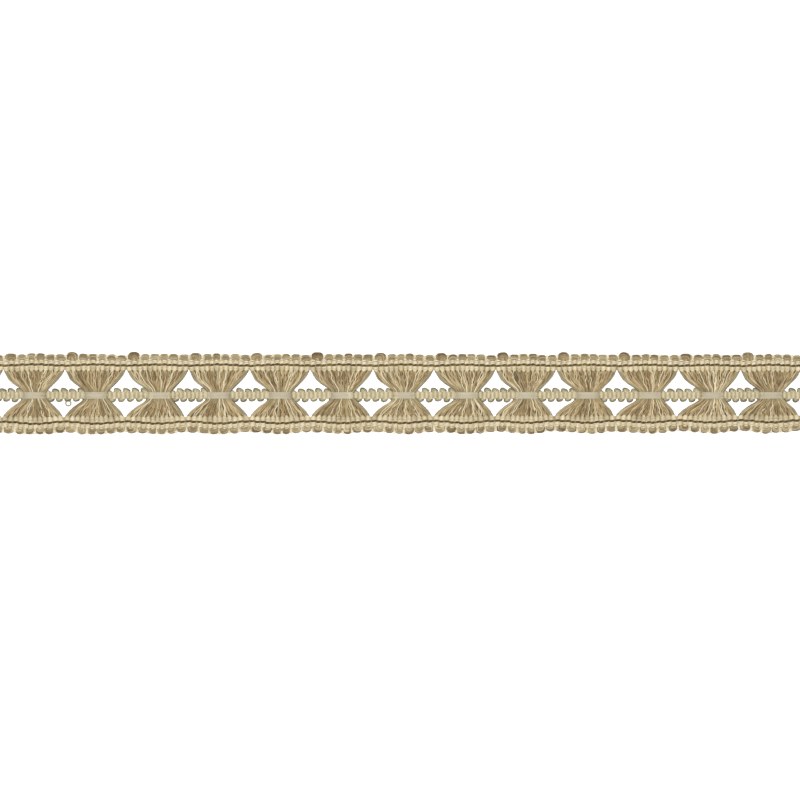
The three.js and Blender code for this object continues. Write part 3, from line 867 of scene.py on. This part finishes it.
def gimp_loops(grey):
    """The gimp's own weft, which turns back in small leaning loops above and below its ribs by turns."""
    rng = np.random.default_rng(SEEDS["gimp_loops"])
    paths, wides, highs, tones = [], [], [], []
    picks = gimp_picks()
    first_tie = next(n for n, pick in enumerate(picks) if pick[2])
    for n in range(len(picks) - 1):
        boundary = picks[n][1]
        beside_tie = picks[n][2] or picks[n + 1][2]
        row = ABOVE_GIMP if (n - first_tie) % 2 == 0 else BELOW_GIMP
        depth = row["depth"] + rng.uniform(*GIMP_LOOP["uneven"])
        half_width = GIMP_LOOP["half_width"]
        if beside_tie:
            depth, half_width = BESIDE_TIE["depth"], BESIDE_TIE["half_width"]
        path, wide, high, outward, _ = loop_bundle(
            BUNDLES["gimp"], rng, boundary + GIMP_LOOP["shift"] * row["lean"], row["side"], GIMP["leg"],
            half_width, row["root"], row["root"] + depth, row["lean"],
        )
        paths.append(path - (0, 0, BESIDE_TIE["lower"] * beside_tie))
        wides.append(wide)
        highs.append(high)
        brightness = rng.uniform(*GIMP_TONE["loops"])
        brightness = brightness + rng.uniform(-GIMP_TONE["strands"], GIMP_TONE["strands"], (len(path), 1))
        # Painted shade on the outside of each small loop
        outside = smooth((outward - GIMP_TONE["start"]) / GIMP_TONE["over"])
        tones.append(row["tone"] - GIMP_TONE["outside"] * outside + brightness)
    paths, wides, highs, tones = (np.concatenate(a) for a in (paths, wides, highs, tones))
    loops = tubes(paths, wides, highs, tones.clip(0, 1))
    yarn_piece("centre_gimp_loops", [loops, pulled_strand()], grey, "centre_gimp")


# Materials

def add(tree, kind, links=None, **settings):
    """Adds a shader node with its settings, and links the named inputs to other nodes' outputs."""
    made = tree.nodes.new(kind)
    for key, value in settings.items():
        if key.startswith("in_"):
            socket = key[3:]
            made.inputs[int(socket) if socket.isdigit() else socket].default_value = value
        else:
            setattr(made, key, value)
    for key, output in (links or {}).items():
        tree.links.new(output, made.inputs[key])
    return made


def yarn_material(name, dark, middle, bright, twist, roughness, sheen, second=None, smooth_second=0.0):
    """Two-ply spun yarn: the tone of each yarn runs from dark to bright, and its plies wind round it with
    one turn in that many millimetres. Where a second colour is given, the yarn takes it on by the share
    called extra, and the plies show less there by smooth_second."""
    material = bpy.data.materials.new(name)
    material.use_nodes = True
    tree = material.node_tree
    shader = tree.nodes["Principled BSDF"]
    shader.inputs["Roughness"].default_value = roughness
    shader.inputs["Sheen Weight"].default_value = sheen
    shader.inputs["Sheen Roughness"].default_value = SHEEN_ROUGHNESS
    shader.inputs["Specular IOR Level"].default_value = SPECULAR
    tone = add(tree, "ShaderNodeAttribute", attribute_name="tone")
    place = add(tree, "ShaderNodeTexCoord")
    slub = add(
        tree, "ShaderNodeTexNoise", {"Vector": place.outputs["Object"]},
        in_Scale=1 / (SLUB["size"] * MM), in_Detail=SLUB["detail"],
    )
    shift = add(
        tree, "ShaderNodeMath", {0: slub.outputs["Fac"]},
        operation="MULTIPLY_ADD", in_1=SLUB["depth"], in_2=-SLUB["depth"] / 2,
    )
    mixed = add(tree, "ShaderNodeMath", {0: tone.outputs["Fac"], 1: shift.outputs[0]}, operation="ADD")
    ramp = add(tree, "ShaderNodeValToRGB", {0: mixed.outputs[0]})
    stops = ramp.color_ramp.elements
    stops[0].color, stops[1].color = linear(dark), linear(bright)
    stops.new(0.5).color = linear(middle)
    colour = ramp.outputs[0]
    uv = add(tree, "ShaderNodeUVMap", uv_map="yarn")
    parts = add(tree, "ShaderNodeSeparateXYZ", {0: uv.outputs[0]})
    around = add(tree, "ShaderNodeMath", {0: parts.outputs["X"]}, operation="MULTIPLY", in_1=float(PLIES))
    turns = add(
        tree, "ShaderNodeMath", {0: parts.outputs["Y"], 2: around.outputs[0]},
        operation="MULTIPLY_ADD", in_1=PLIES / twist,
    )
    wave = add(tree, "ShaderNodeMath", {0: turns.outputs[0]}, operation="MULTIPLY", in_1=2 * math.pi)
    relief = add(tree, "ShaderNodeMath", {0: wave.outputs[0]}, operation="SINE").outputs[0]
    if second:
        extra = add(tree, "ShaderNodeAttribute", attribute_name="extra").outputs["Fac"]
        blend = add(
            tree, "ShaderNodeMix", {"Factor": extra, 6: colour}, data_type="RGBA", in_7=linear(second),
        )
        colour = blend.outputs[2]
        depth = add(
            tree, "ShaderNodeMath", {0: extra}, operation="MULTIPLY_ADD", in_1=-smooth_second, in_2=1.0,
        )
        fainter = add(tree, "ShaderNodeMath", {0: relief, 1: depth.outputs[0]}, operation="MULTIPLY")
        relief = fainter.outputs[0]
    # The plies' light and dark stripes are painted into the base colour as light and shade, beside the bump
    # that gives them relief
    shade = add(
        tree, "ShaderNodeMath", {0: relief},
        operation="MULTIPLY_ADD", in_1=PLY_SHADE["depth"], in_2=PLY_SHADE["middle"],
    )
    tint = add(tree, "ShaderNodeVectorMath", {0: colour, "Scale": shade.outputs[0]}, operation="SCALE")
    tree.links.new(tint.outputs[0], shader.inputs["Base Color"])
    bump = add(
        tree, "ShaderNodeBump", {"Height": relief},
        in_Strength=PLY_RELIEF["strength"], in_Distance=PLY_RELIEF["height"] * MM,
    )
    tree.links.new(bump.outputs[0], shader.inputs["Normal"])
    return material


# Mercerised cotton, spun in two plies: cream with a soft lustre; the brighter cream on top of each rib is a
# painted highlight, and the tan down between two is painted shade
cream_warp = yarn_material(
    "mercerised_cotton_warp_cream", "#988560", "#e2d4ae", "#f4ebd0", twist=1.2, roughness=0.6, sheen=0.15,
)

# Rayon gimp: glossier than the cotton; where its floats lie smooth over a waist it is almost without plies
# and turns a greyer white, a painted sheen
gimp_cream = yarn_material(
    "rayon_gimp_cream", "#978760", "#dccfa9", "#eee5c8", twist=1.2, roughness=0.5, sheen=0.15,
    second="#bfb59e", smooth_second=0.8,
)

# Dyed cotton thread: matt dark brown dashes, paler where the twist catches the light
brown_thread = yarn_material(
    "cotton_thread_dark_brown", "#33250c", "#5d4822", "#937b50", twist=1.6, roughness=0.7, sheen=0.1,
)

# Spun rayon: matt tan with a faint bloom, each yarn of another shade, and greyer at the edges and by the
# ties; painted shade darkens it by the ties and in the under layer
tan_weft = yarn_material(
    "spun_rayon_weft_tan", "#6b532f", "#a58c60", "#d6c298", twist=1.5, roughness=0.7, sheen=0.2,
    second="#9a9070",
)

# Bright rayon: single pale yarns with a clearer gloss that stand out among the tan ones
pale_weft = yarn_material(
    "bright_rayon_weft_cream", "#b3a277", "#d8cca6", "#ece4cc", twist=1.8, roughness=0.45, sheen=0.15,
)

# The same spun rayon turned in loops: tan and pale strands side by side, with painted shade on the outside of
# the crests
loop_weft = yarn_material(
    "spun_rayon_loops_tan", "#6b5431", "#b09c74", "#dccfa9", twist=1.5, roughness=0.7, sheen=0.2,
    second="#a09475",
)

# The gimp's own spun weft: dull grey-tan loops, darker than the cream ends beside them
grey_weft = yarn_material(
    "gimp_weft_grey_tan", "#6e6346", "#aaa07e", "#ddd4b1", twist=1.5, roughness=0.65, sheen=0.2,
)


def paper_material():
    """Uncoated white paper under the braid: an even pale surface without gloss, which shows soft
    shadows."""
    white = bpy.data.materials.new("white_paper")
    white.use_nodes = True
    shader = white.node_tree.nodes["Principled BSDF"]
    shader.inputs["Base Color"].default_value = linear("#f7f7f7")
    shader.inputs["Roughness"].default_value = 0.9
    return white


# Camera, light and floor

def studio():
    """A camera straight above the braid, soft light from overhead and a white floor."""
    view = Vector((PHOTO / 2 - MIDDLE[0], MIDDLE[1] - PHOTO / 2)) * PIXEL
    height = PHOTO * PIXEL * LENS / SENSOR
    data = bpy.data.cameras.new("camera")
    data.lens, data.sensor_width = LENS, SENSOR
    camera = bpy.data.objects.new("camera", data)
    camera.location = Vector((view.x, view.y, height)) * MM
    bpy.context.scene.collection.objects.link(camera)
    bpy.context.scene.camera = camera
    lamp = bpy.data.lights.new("overhead", "AREA")
    lamp.shape = "RECTANGLE"
    lamp.size, lamp.size_y, lamp.energy = LAMP["long"], LAMP["wide"], LAMP["power"]
    light = bpy.data.objects.new("overhead", lamp)
    light.location = LAMP["place"]
    bpy.context.scene.collection.objects.link(light)
    world = bpy.data.worlds.new("room")
    world.use_nodes = True
    world.node_tree.nodes["Background"].inputs["Color"].default_value = linear("#ffffff")
    world.node_tree.nodes["Background"].inputs["Strength"].default_value = ROOM_LIGHT
    bpy.context.scene.world = world
    bpy.context.scene.view_settings.view_transform = "Standard"
    floor_mesh = bpy.data.meshes.new("floor")
    sheet = bmesh.new()
    bmesh.ops.create_grid(sheet, x_segments=1, y_segments=1, size=FLOOR["half"])
    sheet.to_mesh(floor_mesh)
    sheet.free()
    floor_mesh.materials.append(paper_material())
    floor = bpy.data.objects.new("floor", floor_mesh)
    floor.location.z = -FLOOR["under"] * MM
    bpy.context.scene.collection.objects.link(floor)


studio()
for heading_name in HEADINGS:
    heading_band(heading_name, cream_warp)
    line_thread(heading_name, brown_thread)
    loop_edge(heading_name, loop_weft, cream_warp)
for bow_number in range(1, BOWS + 1):
    skein(bow_number, tan_weft, pale_weft)
gimp_warp(gimp_cream)
gimp_loops(grey_weft)
